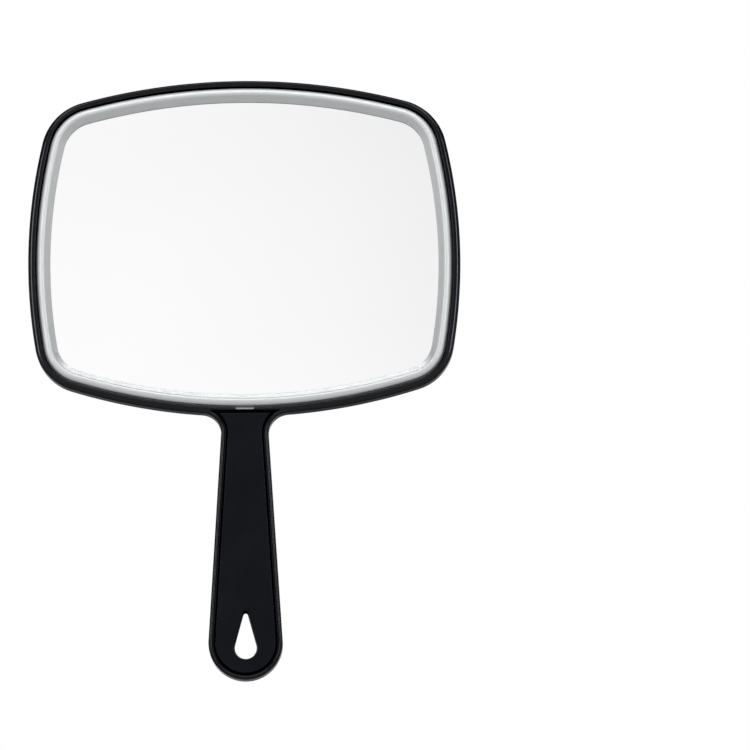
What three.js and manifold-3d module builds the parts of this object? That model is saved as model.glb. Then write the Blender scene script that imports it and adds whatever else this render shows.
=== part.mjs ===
// Salon hand mirror: a wide rounded paddle on a flat tapered handle.
// Millimetres, +Z up. The glass faces -Y, the handle points down, and the origin is the
// middle of the grip. Outlines are lists of points (x, z), anticlockwise seen from the front.

import * as THREE from 'three';
import { mergeVertices } from 'three/addons/utils/BufferGeometryUtils.js';
import Module from 'manifold-3d';

const wasm = await Module();
wasm.setup();

// ---- Driving dimensions -------------------------------------------------------------

// Paddle: four shallow arcs and four corners, each tangent to the next
const PADDLE_Z = 130;              // paddle centre above the middle of the grip
const PADDLE_HALF_WIDTH = 94;
const PADDLE_TOP = 73.5;           // above the paddle centre
const PADDLE_BOTTOM = 74.2;        // below the paddle centre
const WIDEST_DROP = 6.5;           // the sides are widest this far below the centre
const TOP_RADIUS = 270;
const BOTTOM_RADIUS = 252;
const SIDE_RADIUS = 231;
const TOP_CORNER_RADIUS = 24;
const BOTTOM_CORNER_RADIUS = 22;

// Handle
const END_RADIUS = 16;             // round end of the handle
const END_Z = -44;                 // its centre
const TAPER = THREE.MathUtils.degToRad(3.6);
const NECK_FILLET = 9;

// Depth, front (-Y) to back (+Y)
const FRONT = -4.5;                // face of the rim and of the handle's bead
const REAR = 4.5;                  // back edge of the rim and of the handle
const EDGE_ROUND = 1;              // rounding of the frame's outer edges
const GLASS_FRONT = -0.8;
const GLASS_THICKNESS = 3;
const GAP = 0.3;                   // between pieces that touch
const PAST = 1;                    // cutters run this far past what they cut

// Seats and walls
const RIM_SIDE = 3.15;             // rim face, at the paddle's sides
const RIM_END = 2.7;               // rim face, at its top and bottom
const LEDGE = 7;                   // ledge behind the glass, inward of the rim
const BEZEL_GAP = 0.4;             // dark groove between rim and bezel
const BEZEL_WIDTH = 5.95;
const SKIRT = 1.1;                 // bezel skirt round the edge of the glass
const CREST = -5.5;                // foremost line of the bezel
const SHOULDER_WIDTH = 1.7;        // rounded outer side of the bezel, up to its crest
const SHOULDER_DROP = 1.4;
const TURN_RADIUS = 1.9;           // from the crest into the slope towards the glass
const SLOPE = THREE.MathUtils.degToRad(51);

// Handle tray and its inlay panel
const BEAD = 1.8;                  // bead round the tray
const TRAY_TOP = PADDLE_Z - 72.6;  // straight top edge of the panel's seat
const SEAT_Y = -2.4;               // floor that the panel sits on
const SEAT_WIDTH = 2.4;
const TRAY_FLOOR = 2.4;
const PANEL_FACE = -4.1;
const PANEL_STEP = -3.4;           // the panel's face stands on a wider flange
const PANEL_INSET = 1.1;           // face edge, inward of the bead
const RIB_THICKNESS = 1.6;
const RIB_SPACING = 24;
const RIB_COUNT = 3;
const FIRST_RIB_Z = -8;

// Hanging hole: a teardrop, round end down
const HOLE_RADIUS = 5.4;
const HOLE_TIP_RADIUS = 1.7;
const HOLE_Z = -45.8;
const HOLE_TIP_RISE = 13.9;
const COLLAR = 1.8;                // raised ring round the hole, and the boss inside
const BACK_RECESS = 0.5;           // the handle's back panel lies this far below its bead
const BACK_BEAD = 3;

// Bezel tab at the foot of the glass
const TAB_HALF_WIDTH = 4.05;
const TAB_LENGTH = 1.2;
const TAB_FRONT = -3.9;
const TAB_BACK = -1.9;

// Back cover
const COVER_INSET = 0.5;
const COVER_BACK = 9.1;            // flat middle of the cover
const COVER_EDGE_Y = 5.5;          // where the rounded edge starts
const COVER_ROLL = 13;             // width of the rounded edge
const COVER_WALL = 1.8;
const COVER_LIP = 1.5;             // wall that locates the cover inside the ledge
const COVER_LIP_FRONT = 2.7;
const COVER_HAUNCH = 0.25;         // the inside turns in at this share of the edge's height

// Foam pads between glass and cover
const PAD_SIZE = 24;
const PAD_CORNER = 3;
const PAD_X = 46;
const PAD_Z = 30;

// Segments per arc
const CORNER_STEPS = 7;
const LONG_STEPS = 7;
const END_STEPS = 12;
const SMALL_STEPS = 5;
const PROFILE_STEPS = 3;

// ---- Outlines -----------------------------------------------------------------------

const point = (x, z) => new THREE.Vector2(x, z);
const circle = (x, z, radius) => ({ centre: point(x, z), radius });
const bearing = (from, to) => Math.atan2(to.y - from.y, to.x - from.x);

/** Points on a circle from one angle to another, both ends included. */
function arc({ centre, radius }, from, to, steps) {
  const points = [];
  for (let i = 0; i <= steps; i++) {
    const angle = THREE.MathUtils.lerp(from, to, i / steps);
    points.push(point(centre.x + radius * Math.cos(angle), centre.y + radius * Math.sin(angle)));
  }
  return points;
}

/** The right-hand circle of a given radius that touches two larger circles from inside. */
function cornerCircle(a, b, radius) {
  const reachA = a.radius - radius;
  const reachB = b.radius - radius;
  const span = a.centre.distanceTo(b.centre);
  const along = (span * span + reachA * reachA - reachB * reachB) / (2 * span);
  const across = Math.sqrt(reachA * reachA - along * along);
  const u = b.centre.clone().sub(a.centre).divideScalar(span);
  const candidates = [1, -1].map((side) => a.centre.clone()
    .addScaledVector(u, along)
    .addScaledVector(point(-u.y, u.x), side * across));
  const centre = candidates[0].x > candidates[1].x ? candidates[0] : candidates[1];
  return { centre, radius };
}

/** The paddle's circles, moved inward: by one amount at the sides, another at the ends. */
function paddleCircles(sideInset, endInset) {
  const cornerInset = (sideInset + endInset) / 2;
  const top = circle(0, PADDLE_Z + PADDLE_TOP - TOP_RADIUS, TOP_RADIUS - endInset);
  const bottom = circle(0, PADDLE_Z - PADDLE_BOTTOM + BOTTOM_RADIUS, BOTTOM_RADIUS - endInset);
  const side = circle(PADDLE_HALF_WIDTH - SIDE_RADIUS, PADDLE_Z - WIDEST_DROP, SIDE_RADIUS - sideInset);
  const topCorner = cornerCircle(top, side, TOP_CORNER_RADIUS - cornerInset);
  const bottomCorner = cornerCircle(bottom, side, BOTTOM_CORNER_RADIUS - cornerInset);
  return { top, bottom, side, topCorner, bottomCorner };
}

/** Right half of the paddle's outline, from an angle on its bottom arc to its top centre. */
function paddleHalf(sideInset, endInset, startAngle) {
  const { top, bottom, side, topCorner, bottomCorner } = paddleCircles(sideInset, endInset);
  const foot = bearing(bottom.centre, bottomCorner.centre);
  const lower = bearing(side.centre, bottomCorner.centre);
  const upper = bearing(side.centre, topCorner.centre);
  const head = bearing(top.centre, topCorner.centre);
  return [
    ...arc(bottom, startAngle, foot, LONG_STEPS),
    ...arc(bottomCorner, foot, lower, CORNER_STEPS).slice(1),
    ...arc(side, lower, upper, LONG_STEPS).slice(1),
    ...arc(topCorner, upper, head, CORNER_STEPS).slice(1),
    ...arc(top, head, Math.PI / 2, LONG_STEPS).slice(1),
  ];
}

/** A closed outline from its right half, which starts and ends on the centre line. */
function mirrored(half) {
  const left = half.slice(1, -1).reverse().map((p) => point(-p.x, p.y));
  return [...half, ...left];
}

const paddleOutline = (sideInset, endInset) => mirrored(paddleHalf(sideInset, endInset, -Math.PI / 2));

/** The fillet circle between the paddle's bottom arc and the handle's straight side. */
function neckCircle() {
  const end = point(0, END_Z);
  const bottom = paddleCircles(0, 0).bottom;
  const normal = point(Math.cos(TAPER), Math.sin(TAPER));
  const upward = point(-Math.sin(TAPER), Math.cos(TAPER));
  const start = end.clone().addScaledVector(normal, END_RADIUS + NECK_FILLET);
  const toStart = start.clone().sub(bottom.centre);
  const reach = bottom.radius + NECK_FILLET;
  const half = toStart.dot(upward);
  const travel = -half - Math.sqrt(half * half - toStart.lengthSq() + reach * reach);
  return { centre: start.addScaledVector(upward, travel), radius: NECK_FILLET };
}

const NECK = neckCircle();

/** Right side of the handle up to the top of its neck fillet, which ends at an angle. */
function handleHalf(inset, filletEnd) {
  const end = circle(0, END_Z, END_RADIUS - inset);
  const fillet = { centre: NECK.centre, radius: NECK.radius + inset };
  return [
    ...arc(end, -Math.PI / 2, TAPER, END_STEPS),
    ...arc(fillet, Math.PI + TAPER, filletEnd, CORNER_STEPS),
  ];
}

/** The whole frame's outline: paddle, neck fillets and handle. */
function frameOutline(inset) {
  const bottomCentre = paddleCircles(0, 0).bottom.centre;
  const filletEnd = bearing(NECK.centre, bottomCentre);
  const startAngle = bearing(bottomCentre, NECK.centre);
  return mirrored([
    ...handleHalf(inset, filletEnd),
    ...paddleHalf(inset, inset, startAngle).slice(1),
  ]);
}

/** The handle's outline below a straight top edge, moved inward from the frame's. */
function trayOutline(inset, top) {
  const filletEnd = Math.PI - Math.asin((top - NECK.centre.y) / (NECK.radius + inset));
  const half = handleHalf(inset, filletEnd);
  const left = half.slice(1).reverse().map((p) => point(-p.x, p.y));
  return [...half, ...left];
}

/** A teardrop round the hanging hole, larger than the hole by a margin. */
function teardrop(margin) {
  const round = circle(0, HOLE_Z, HOLE_RADIUS + margin);
  const tip = circle(0, HOLE_Z + HOLE_TIP_RISE, HOLE_TIP_RADIUS + margin);
  const flank = Math.asin((HOLE_RADIUS - HOLE_TIP_RADIUS) / HOLE_TIP_RISE);
  return mirrored([
    ...arc(round, -Math.PI / 2, flank, END_STEPS),
    ...arc(tip, flank, Math.PI / 2, SMALL_STEPS),
  ]);
}

/** A rectangle with rounded corners about (x, z). */
function roundedRectangle(x, z, width, height, radius) {
  const points = [];
  const corners = [[1, -1], [1, 1], [-1, 1], [-1, -1]];
  corners.forEach(([sx, sz], i) => {
    const corner = circle(x + sx * (width / 2 - radius), z + sz * (height / 2 - radius), radius);
    points.push(...arc(corner, (i - 1) * Math.PI / 2, i * Math.PI / 2, SMALL_STEPS));
  });
  return points;
}

// ---- Solids -------------------------------------------------------------------------

/** A flat plate with this outline, between two depths. */
function plate(outline, front, back) {
  const options = { depth: back - front, bevelEnabled: false };
  return new THREE.ExtrudeGeometry(new THREE.Shape(outline), options)
    .rotateX(Math.PI / 2)
    .translate(0, back, 0);
}

/** A box between two corners. */
function box(low, high) {
  const size = new THREE.Vector3().subVectors(high, low);
  const centre = new THREE.Vector3().addVectors(low, high).multiplyScalar(0.5);
  return new THREE.BoxGeometry(size.x, size.y, size.z).translate(centre.x, centre.y, centre.z);
}

/**
 * A skin stretched over matching outlines, each { outline, y }. The first and last are
 * capped, unless it is a ring, whose last outline joins its first.
 */
function loft(layers, ring = false) {
  const count = layers[0].outline.length;
  const positions = layers.flatMap(({ outline, y }) => outline.flatMap((p) => [p.x, y, p.y]));
  const index = [];
  const spans = ring ? layers.length : layers.length - 1;
  for (let k = 0; k < spans; k++) {
    const near = k * count;
    const far = ((k + 1) % layers.length) * count;
    for (let i = 0; i < count; i++) {
      const j = (i + 1) % count;
      index.push(near + i, far + i, near + j, near + j, far + i, far + j);
    }
  }
  if (!ring) {
    const last = (layers.length - 1) * count;
    for (const [a, b, c] of THREE.ShapeUtils.triangulateShape(layers[0].outline, [])) {
      index.push(a, b, c);
    }
    for (const [a, b, c] of THREE.ShapeUtils.triangulateShape(layers.at(-1).outline, [])) {
      index.push(last + c, last + b, last + a);
    }
  }
  const geometry = new THREE.BufferGeometry();
  geometry.setAttribute('position', new THREE.Float32BufferAttribute(positions, 3));
  geometry.setIndex(index);
  return geometry;
}

/** A closed geometry as a Manifold solid. */
function solid(geometry) {
  const bare = geometry.clone();
  bare.deleteAttribute('normal');
  bare.deleteAttribute('uv');
  const welded = mergeVertices(bare);
  return new wasm.Manifold(new wasm.Mesh({
    numProp: 3,
    vertProperties: new Float32Array(welded.attributes.position.array),
    triVerts: new Uint32Array(welded.index.array),
  }));
}

/** A Manifold solid back as a geometry. */
function geometryOf(manifold) {
  const { vertProperties, triVerts } = manifold.getMesh();
  const geometry = new THREE.BufferGeometry();
  geometry.setAttribute('position', new THREE.Float32BufferAttribute(vertProperties, 3));
  geometry.setIndex(Array.from(triVerts));
  return geometry;
}

const cut = (body, ...cutters) => cutters.reduce((rest, cutter) => rest.subtract(solid(cutter)), body);

// ---- Pieces -------------------------------------------------------------------------

const GLASS_BACK = GLASS_FRONT + GLASS_THICKNESS;
const LEDGE_FRONT = GLASS_BACK + GAP;
const BEZEL_SIDE = RIM_SIDE + BEZEL_GAP;
const BEZEL_END = RIM_END + BEZEL_GAP;
const COVER_INNER = COVER_BACK - COVER_WALL;

/** Outer form of the frame: one moulding, with its front and back edges rounded. */
function frameBlank() {
  const half = EDGE_ROUND * (1 - Math.SQRT1_2);
  return loft([
    { outline: frameOutline(EDGE_ROUND), y: FRONT },
    { outline: frameOutline(half), y: FRONT + half },
    { outline: frameOutline(0), y: FRONT + EDGE_ROUND },
    { outline: frameOutline(0), y: REAR - EDGE_ROUND },
    { outline: frameOutline(half), y: REAR - half },
    { outline: frameOutline(EDGE_ROUND), y: REAR },
  ]);
}

/** Hollow of the handle, with a boss round the hole and cross ribs left standing. */
function trayHollow() {
  const wall = BEAD + SEAT_WIDTH;
  const hollow = solid(plate(trayOutline(wall, TRAY_TOP - SEAT_WIDTH), SEAT_Y - PAST, TRAY_FLOOR));
  const left = [plate(teardrop(COLLAR), SEAT_Y - PAST, REAR)];
  for (let i = 0; i < RIB_COUNT; i++) {
    const z = FIRST_RIB_Z + i * RIB_SPACING;
    left.push(box(
      new THREE.Vector3(-END_RADIUS, SEAT_Y, z - RIB_THICKNESS / 2),
      new THREE.Vector3(END_RADIUS, REAR, z + RIB_THICKNESS / 2),
    ));
  }
  return cut(hollow, ...left);
}

/** Shallow recess of the handle's back, inside its bead and round the hole's collar. */
function backRecess() {
  const top = PADDLE_Z - PADDLE_BOTTOM - COVER_INSET;
  const recess = solid(plate(trayOutline(BACK_BEAD, top), REAR - BACK_RECESS, REAR + PAST));
  return cut(recess, plate(teardrop(COLLAR), REAR - PAST, REAR + PAST));
}

/** Slot in the rim that the bezel's tab drops into. */
function tabNotch() {
  const foot = PADDLE_Z - PADDLE_BOTTOM + BEZEL_END;
  return box(
    new THREE.Vector3(-TAB_HALF_WIDTH - GAP, FRONT - PAST, foot - TAB_LENGTH - GAP / 2),
    new THREE.Vector3(TAB_HALF_WIDTH + GAP, TAB_BACK + GAP, foot + PAST),
  );
}

function frameBody() {
  const ledgeSide = RIM_SIDE + LEDGE;
  const ledgeEnd = RIM_END + LEDGE;
  const body = cut(
    solid(frameBlank()),
    plate(paddleOutline(RIM_SIDE, RIM_END), FRONT - PAST, LEDGE_FRONT),
    plate(paddleOutline(ledgeSide, ledgeEnd), GLASS_FRONT, REAR + PAST),
    plate(trayOutline(BEAD, TRAY_TOP), FRONT - PAST, SEAT_Y),
    tabNotch(),
  );
  const opened = body.subtract(trayHollow()).subtract(backRecess());
  return geometryOf(cut(opened, plate(teardrop(0), FRONT - PAST, REAR + PAST)));
}

/** The bezel's visible face, as [distance inside its outer edge, y]: shoulder, crest, turn. */
function bezelFace() {
  const points = [];
  for (let i = 0; i <= PROFILE_STEPS; i++) {
    const angle = (i / PROFILE_STEPS) * (Math.PI / 2);
    const inward = SHOULDER_WIDTH * (1 - Math.cos(angle));
    points.push([inward, CREST + SHOULDER_DROP * (1 - Math.sin(angle))]);
  }
  for (let i = 1; i <= PROFILE_STEPS; i++) {
    const angle = (i / PROFILE_STEPS) * SLOPE;
    const inward = SHOULDER_WIDTH + TURN_RADIUS * Math.sin(angle);
    points.push([inward, CREST + TURN_RADIUS * (1 - Math.cos(angle))]);
  }
  return points;
}

/** Convex ring over the edge of the glass, with a skirt round it and a tab at its foot. */
function bezelRing() {
  const lip = GLASS_FRONT - GAP;
  const profile = [
    [0, GLASS_BACK],
    ...bezelFace(),
    [BEZEL_WIDTH, lip - GAP],
    [BEZEL_WIDTH, lip],
    [SKIRT, lip],
    [SKIRT, GLASS_BACK],
  ];
  const layers = profile.map(([e, y]) => ({ outline: paddleOutline(BEZEL_SIDE + e, BEZEL_END + e), y }));
  const foot = PADDLE_Z - PADDLE_BOTTOM + BEZEL_END;
  const tab = box(
    new THREE.Vector3(-TAB_HALF_WIDTH, TAB_FRONT, foot - TAB_LENGTH + GAP / 2),
    new THREE.Vector3(TAB_HALF_WIDTH, TAB_BACK, foot + SKIRT / 2),
  );
  return geometryOf(solid(loft(layers.reverse(), true)).add(solid(tab)));
}

function mirrorGlass() {
  const margin = SKIRT + GAP;
  return plate(paddleOutline(BEZEL_SIDE + margin, BEZEL_END + margin), GLASS_FRONT, GLASS_BACK);
}

/** Textured shell behind the glass: flat middle, rolled edge and a locating lip inside. */
function backCover() {
  const rise = COVER_BACK - COVER_EDGE_Y;
  const lipSide = RIM_SIDE + LEDGE + GAP;
  const lipEnd = RIM_END + LEDGE + GAP;
  const layer = (inset, y) => ({ outline: paddleOutline(inset, inset), y });
  const lip = (inset, y) => ({ outline: paddleOutline(lipSide + inset, lipEnd + inset), y });
  const inner = [
    lip(COVER_LIP, COVER_INNER),
    lip(COVER_LIP, COVER_LIP_FRONT),
    lip(0, COVER_LIP_FRONT),
    lip(0, COVER_INNER - GAP),
    layer(COVER_INSET + 2 * COVER_WALL, COVER_EDGE_Y + rise * COVER_HAUNCH),
    layer(COVER_INSET + COVER_WALL, REAR + GAP),
    layer(COVER_INSET, REAR + GAP),
  ];
  const outer = [];
  const steps = SMALL_STEPS + 1;
  for (let i = 0; i <= steps; i++) {
    const angle = (i / steps) * (Math.PI / 2);
    const inset = COVER_INSET + COVER_ROLL * (1 - Math.cos(angle));
    outer.push(layer(inset, COVER_EDGE_Y + rise * Math.sin(angle)));
  }
  return loft([...inner, ...outer]);
}

/** Inlay that closes the handle's tray: a face plate on a wider flange. */
function handleFrontPanel() {
  const flangeInset = BEAD + GAP;
  const faceInset = BEAD + PANEL_INSET;
  const flange = plate(trayOutline(flangeInset, TRAY_TOP - GAP), PANEL_STEP, SEAT_Y - GAP);
  const face = plate(trayOutline(faceInset, TRAY_TOP - PANEL_INSET), PANEL_FACE, PANEL_STEP + GAP);
  return geometryOf(cut(solid(flange).add(solid(face)), plate(teardrop(0), FRONT - PAST, REAR + PAST)));
}

function mountingPad(sx, sz) {
  const outline = roundedRectangle(sx * PAD_X, PADDLE_Z + sz * PAD_Z, PAD_SIZE, PAD_SIZE, PAD_CORNER);
  return plate(outline, GLASS_BACK + GAP, COVER_INNER - GAP);
}

// ---- Materials ----------------------------------------------------------------------

const material = (color, roughness, metalness) =>
  new THREE.MeshStandardMaterial({ color, roughness, metalness });

const BLACK_GLOSS = material(0x14161a, 0.28, 0);
const BLACK_TEXTURED = material(0x1d2127, 0.42, 0);
const SILVER_PAINT = material(0xb9bcbc, 0.35, 0.55);
const SILVERED_GLASS = material(0xeef0f3, 0.03, 1);
const GREY_FOAM = material(0x4a4c50, 0.95, 0);

// ---- Assembly -----------------------------------------------------------------------

const mirror = new THREE.Group();

function place(name, geometry, look) {
  const mesh = new THREE.Mesh(geometry, look);
  mesh.name = name;
  mirror.add(mesh);
}

place('frame_body', frameBody(), BLACK_GLOSS);
place('back_cover', backCover(), BLACK_TEXTURED);
place('bezel_ring', bezelRing(), SILVER_PAINT);
place('mirror_glass', mirrorGlass(), SILVERED_GLASS);
place('handle_front_panel', handleFrontPanel(), BLACK_GLOSS);

const padPlaces = { upper_left: [-1, 1], upper_right: [1, 1], lower_left: [-1, -1], lower_right: [1, -1] };
for (const [name, [sx, sz]] of Object.entries(padPlaces)) {
  place(`mounting_pad_${name}`, mountingPad(sx, sz), GREY_FOAM);
}

export default mirror;
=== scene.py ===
"""Salon hand mirror: the finished surfaces, materials, floor, light and camera.

Every length is in metres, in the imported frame: +Z up, glass towards -Y, grip at the origin.
Outlines are arrays of points (x, z), anticlockwise seen from the front.
"""
import math
from collections import namedtuple

import bmesh
import bpy
import numpy as np
from mathutils import Matrix, Vector
from mathutils.geometry import delaunay_2d_cdt


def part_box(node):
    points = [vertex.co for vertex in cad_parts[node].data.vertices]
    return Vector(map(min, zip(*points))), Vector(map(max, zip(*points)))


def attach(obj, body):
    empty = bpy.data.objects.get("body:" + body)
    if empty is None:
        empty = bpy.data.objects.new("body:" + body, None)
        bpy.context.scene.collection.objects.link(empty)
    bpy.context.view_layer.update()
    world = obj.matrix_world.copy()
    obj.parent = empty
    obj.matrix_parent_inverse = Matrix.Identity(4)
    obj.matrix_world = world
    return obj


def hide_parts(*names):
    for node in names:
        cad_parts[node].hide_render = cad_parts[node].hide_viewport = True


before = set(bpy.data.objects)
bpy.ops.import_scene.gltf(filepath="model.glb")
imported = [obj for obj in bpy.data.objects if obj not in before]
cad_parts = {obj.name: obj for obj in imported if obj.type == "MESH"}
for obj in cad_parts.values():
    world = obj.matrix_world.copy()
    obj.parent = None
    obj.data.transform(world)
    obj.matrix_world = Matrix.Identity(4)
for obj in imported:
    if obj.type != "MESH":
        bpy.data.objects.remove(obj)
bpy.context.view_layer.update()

MM = 0.001

# ---- Sizes --------------------------------------------------------------------------

FRAME_LOW, FRAME_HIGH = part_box("frame_body")
BEZEL_LOW, BEZEL_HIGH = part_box("bezel_ring")
GLASS_LOW, GLASS_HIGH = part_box("mirror_glass")
PANEL_LOW, PANEL_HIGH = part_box("handle_front_panel")
COVER_LOW, COVER_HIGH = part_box("back_cover")

# Depths, front to back
FRONT = FRAME_LOW.y
REAR = FRAME_HIGH.y
CREST = BEZEL_LOW.y
GLASS_FRONT = GLASS_LOW.y
GLASS_BACK = GLASS_HIGH.y
PANEL_FACE = PANEL_LOW.y
PANEL_BACK = PANEL_HIGH.y
COVER_BACK = COVER_HIGH.y
GAP = 0.3 * MM      # between pieces
SEAM = 0.04 * MM    # between the frame and the cover
LEDGE_FRONT = GLASS_BACK + GAP
SEAT_Y = PANEL_BACK + GAP
TRAY_FLOOR = 2.4 * MM
PANEL_STEP = PANEL_BACK - 0.2 * MM
PAST = 1.0 * MM     # how far a cutter reaches past what it cuts

# Paddle: four shallow arcs and four corners, each tangent to the next
PADDLE_TOP = 73.5 * MM
PADDLE_BOTTOM = 74.2 * MM
PADDLE_Z = FRAME_HIGH.z - PADDLE_TOP
WIDEST_DROP = 6.5 * MM
TOP_RADIUS = 270 * MM
BOTTOM_RADIUS = 252 * MM
SIDE_RADIUS = 231 * MM
TOP_CORNER_RADIUS = 24 * MM
BOTTOM_CORNER_RADIUS = 22 * MM

# Handle
END_RADIUS = 16 * MM
END_Z = FRAME_LOW.z + END_RADIUS
TAPER = math.radians(3.6)
NECK_FILLET = 9 * MM

# Insets of the pieces from the paddle's outline, at its sides and at its ends
BEZEL_GAP = 0.4 * MM
BEZEL_SIDE = FRAME_HIGH.x - BEZEL_HIGH.x
BEZEL_END = FRAME_HIGH.z - BEZEL_HIGH.z
BEZEL_FOOT = PADDLE_Z - PADDLE_BOTTOM + BEZEL_END
RIM_SIDE = BEZEL_SIDE - BEZEL_GAP
RIM_END = BEZEL_END - BEZEL_GAP
GLASS_SIDE = FRAME_HIGH.x - GLASS_HIGH.x
GLASS_END = FRAME_HIGH.z - GLASS_HIGH.z
COVER_INSET = FRAME_HIGH.x - COVER_HIGH.x
LEDGE = 7 * MM
BEZEL_WIDTH = 5.95 * MM
SKIRT = 1.1 * MM

# Rounded edges: width across and depth
RIM_ROUND = (2.2 * MM, 1.2 * MM)
RIM_SIDE_SPAN = (65 * MM, 85 * MM)  # where the rim turns into its rounder sides
RIM_NECK_SPAN = (18 * MM, 32 * MM)  # where it narrows to the strip above the handle
RIM_INNER_ROUND = (0.45 * MM, 0.4 * MM)
BEAD_ROUND = 0.95 * MM
STRIP_ROUND = 0.5 * MM
BEAD_INNER_ROUND = (0.75 * MM, 0.8 * MM)
BACK_ROUND = 1.0 * MM
FINE_ROUND = 0.3 * MM

# Handle tray, back recess and hanging hole
BEAD = 1.8 * MM
TRAY_TOP = PADDLE_Z - 72.6 * MM
SEAT_WIDTH = 2.4 * MM
PANEL_INSET = 1.1 * MM
RIB_THICKNESS = 1.6 * MM
RIB_Z = (-8 * MM, 16 * MM, 40 * MM)
HOLE_RADIUS = 5.4 * MM
HOLE_TIP_RADIUS = 1.7 * MM
HOLE_Z = -45.8 * MM
HOLE_TIP_RISE = 13.9 * MM
COLLAR = 1.8 * MM
COLLAR_ROUND = 0.6 * MM
HOLE_WAIST = 0.7 * MM  # how far the hole narrows inside the handle
WAIST_Y = 0.4 * MM
BACK_RECESS = 0.5 * MM
BACK_BEAD = 3 * MM
BACK_BEAD_ROUND = 0.9 * MM
CORNER_INWARD = (-0.8, -0.6)  # into the tray from its right-hand pointed corner

# Bezel section and tab
BEZEL_STEP = (0.5 * MM, 1.9 * MM)  # the shadow groove outside the bezel: width and drop
SHOULDER = (2.0 * MM, 1.4 * MM)
TURN_RADIUS = 1.7 * MM
BEZEL_LIFT = 0.55 * MM             # between the lip and the glass
LIP_HEIGHT = 0.2 * MM
LIP_BEVEL = 0.12 * MM
SLOPE = math.radians(51)
TAB_HALF_WIDTH = 4.05 * MM
TAB_LENGTH = 1.0 * MM
TAB_FRONT = FRONT + 2.4 * MM
TAB_BACK = TAB_FRONT + 1.6 * MM
TAB_ROUND = 0.2 * MM

# Back cover
COVER_EDGE_Y = 5.5 * MM
COVER_ROLL = 13 * MM
COVER_WALL = 1.8 * MM
COVER_LIP = 1.5 * MM
COVER_LIP_FRONT = 2.7 * MM
COVER_HAUNCH = 0.25  # share of the edge's rise at which the wall inside turns
COVER_FOOT_ROUND = 0.2 * MM

# Scale texture of the cover
SCALE_WIDTH = 10.7 * MM
SCALE_PITCH = 7.14 * MM
SCALE_RISE = 0.55 * MM
SCALE_CROWN = 0.26 * MM
SCALE_PEAK = 0.5
SCALE_SPREAD = 1.1
SCALE_TAIL = 1.5              # in pitches from a scale's tip, where its surface levels out
SCALE_STEP = 0.3 * MM
SCALE_BORDER = 2.0 * MM
SCALE_FADE = 0.5 * MM
SCALE_MESH = 0.9 * MM
SCALE_CLEARANCE = 0.3 * MM    # from evenly spread points to the scales' outlines
BORDER_CLEARANCE = 0.35 * MM  # from any point of the texture to its border

# Mesh steps per arc
CORNER_STEPS = 26
LONG_STEPS = 36
END_STEPS = 30
FILLET_STEPS = 20
TIP_STEPS = 14
EDGE_STEPS = 7
SECTION_STEPS = 10
SCALE_ARC_STEPS = 30
SCALE_LEG_STEPS = 3

# ---- Outlines -----------------------------------------------------------------------

Circle = namedtuple("Circle", "centre radius")
Outline = namedtuple("Outline", "points inward")


def circle(x, z, radius):
    return Circle(np.array([x, z]), radius)


def bearing(start, end):
    """Angle of the way from one centre to another."""
    x, z = end - start
    return math.atan2(z, x)


def arc(ring, start, end, steps, hollow=False):
    """Points on a circle, and unit vectors into the solid: away from the centre if hollow."""
    angles = np.linspace(start, end, steps + 1)
    outward = np.stack([np.cos(angles), np.sin(angles)], axis=1)
    return Outline(ring.centre + ring.radius * outward, outward if hollow else -outward)


def chain(arcs):
    """Arcs that follow each other, without their shared points."""
    first, *others = arcs
    points = [first.points] + [a.points[1:] for a in others]
    inward = [first.inward] + [a.inward[1:] for a in others]
    return Outline(np.concatenate(points), np.concatenate(inward))


def flipped(part):
    return part[::-1] * np.array([-1.0, 1.0])


def mirrored(half):
    """A closed outline from its right half, which starts and ends on the centre line."""
    points = np.concatenate([half.points, flipped(half.points[1:-1])])
    inward = np.concatenate([half.inward, flipped(half.inward[1:-1])])
    return Outline(points, inward)


def corner_circle(a, b, radius):
    """The right-hand circle of a given radius that touches two larger circles from inside."""
    reach_a = a.radius - radius
    reach_b = b.radius - radius
    between = b.centre - a.centre
    span = np.linalg.norm(between)
    along = (span ** 2 + reach_a ** 2 - reach_b ** 2) / (2 * span)
    across = math.sqrt(reach_a ** 2 - along ** 2)
    unit = between / span
    normal = np.array([-unit[1], unit[0]])
    candidates = [a.centre + unit * along + normal * side * across for side in (1, -1)]
    return Circle(max(candidates, key=lambda centre: centre[0]), radius)


def paddle_circles(side_inset=0.0, end_inset=0.0):
    """The paddle's circles, moved inward: by one amount at the sides, another at the ends."""
    corner_inset = (side_inset + end_inset) / 2
    top = circle(0, PADDLE_Z + PADDLE_TOP - TOP_RADIUS, TOP_RADIUS - end_inset)
    bottom = circle(0, PADDLE_Z - PADDLE_BOTTOM + BOTTOM_RADIUS, BOTTOM_RADIUS - end_inset)
    side_centre = FRAME_HIGH.x - SIDE_RADIUS
    side = circle(side_centre, PADDLE_Z - WIDEST_DROP, SIDE_RADIUS - side_inset)
    top_corner = corner_circle(top, side, TOP_CORNER_RADIUS - corner_inset)
    bottom_corner = corner_circle(bottom, side, BOTTOM_CORNER_RADIUS - corner_inset)
    return top, bottom, side, top_corner, bottom_corner


def paddle_spans(circles):
    """The angles where the paddle's arcs meet: foot, lower, upper, head."""
    top, bottom, side, top_corner, bottom_corner = circles
    return (
        bearing(bottom.centre, bottom_corner.centre),
        bearing(side.centre, bottom_corner.centre),
        bearing(side.centre, top_corner.centre),
        bearing(top.centre, top_corner.centre),
    )


def paddle_half(side_inset, end_inset, start_angle):
    circles = paddle_circles(side_inset, end_inset)
    top, bottom, side, top_corner, bottom_corner = circles
    foot, lower, upper, head = paddle_spans(circles)
    return chain([
        arc(bottom, start_angle, foot, LONG_STEPS),
        arc(bottom_corner, foot, lower, CORNER_STEPS),
        arc(side, lower, upper, LONG_STEPS),
        arc(top_corner, upper, head, CORNER_STEPS),
        arc(top, head, math.pi / 2, LONG_STEPS),
    ])


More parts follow.
